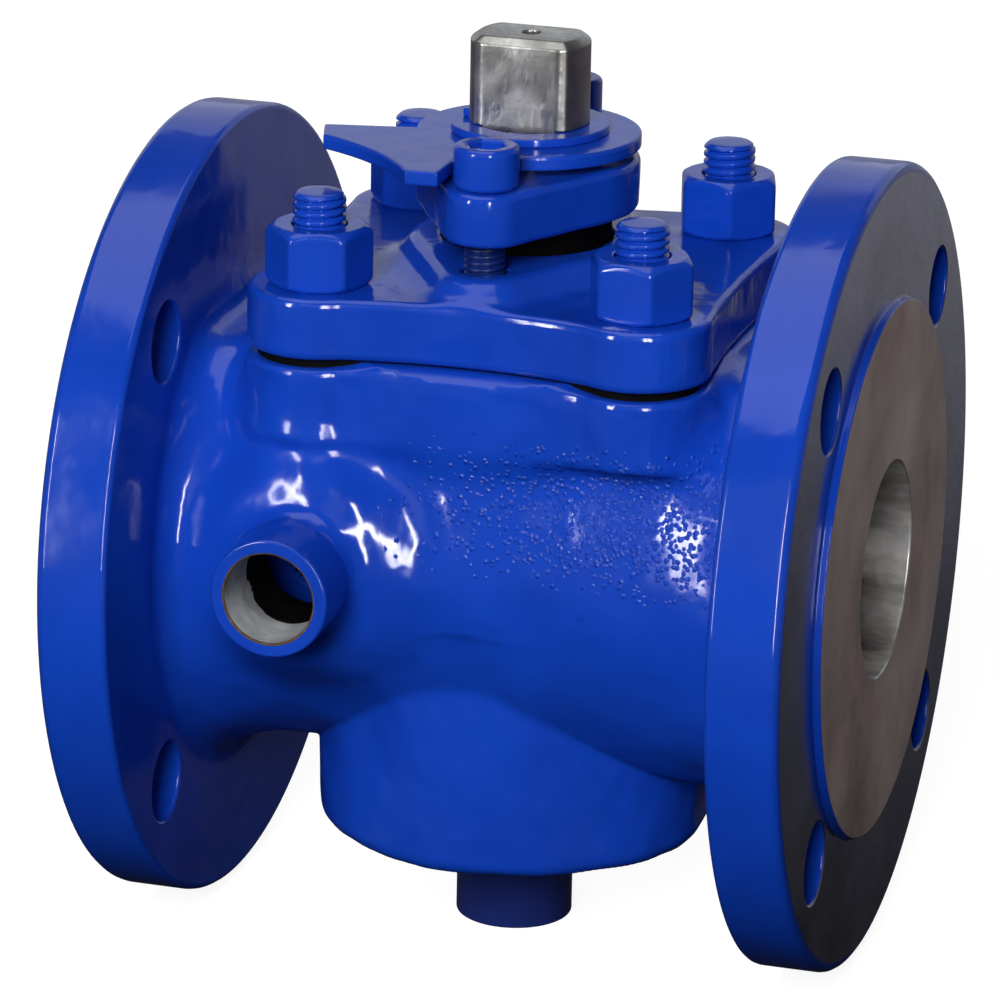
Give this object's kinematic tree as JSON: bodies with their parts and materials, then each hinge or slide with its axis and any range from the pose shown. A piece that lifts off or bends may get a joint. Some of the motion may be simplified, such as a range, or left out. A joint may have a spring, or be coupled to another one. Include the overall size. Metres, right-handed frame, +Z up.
{
  "type": "jacketed plug valve",
  "caption": "Sleeved plug valve in a steam jacket, with round flanged ends, a bolted bonnet, a double-D stem, a stop plate and pipe stubs for the jacket.",
  "frame": {"origin": "where the flow bore's axis meets the stem's axis", "axes": "+X along the flow to the outlet flange, +Z up the stem, -Y to the side of the jacket inlet stub"},
  "size_m": [0.178, 0.1904, 0.218],
  "materials": {
    "enamel": "glossy royal blue enamel over a cast surface",
    "bare_casting": "machined grey-brown steel casting",
    "stem_steel": "machined and slightly worn",
    "inner_steel": "machined",
    "ptfe": "smooth waxy",
    "graphite": "matt"
  },
  "bodies": {
    "body": {"valve_body": "enamel", "steam_jacket": "enamel", "jacket_inlet_stub": "enamel", "jacket_drain_stub": "enamel", "plug_sleeve": "ptfe", "ptfe_diaphragm": "ptfe", "metal_diaphragm": "inner_steel", "thrust_collar": "inner_steel", "antistatic_ring": "inner_steel", "cover_gasket": "graphite", "bonnet_cover": "enamel", "packing_washer": "inner_steel", "packing_ring_1": "ptfe", "packing_ring_2": "ptfe", "packing_ring_3": "ptfe", "gland_follower": "inner_steel", "gland_flange": "enamel", "gland_screws": "enamel", "bonnet_studs": "enamel", "bonnet_nuts": "enamel"},
    "plug": {"tapered_plug": "stem_steel", "stop_plate": "enamel", "retaining_ring": "enamel"}
  },
  "joints": [
    {"name": "plug_turn", "type": "hinge", "parent": "body", "child": "plug", "pos_m": [0, 0, 0], "axis": [0, 0, 1], "range_deg": [-90, 0]}
  ]
}
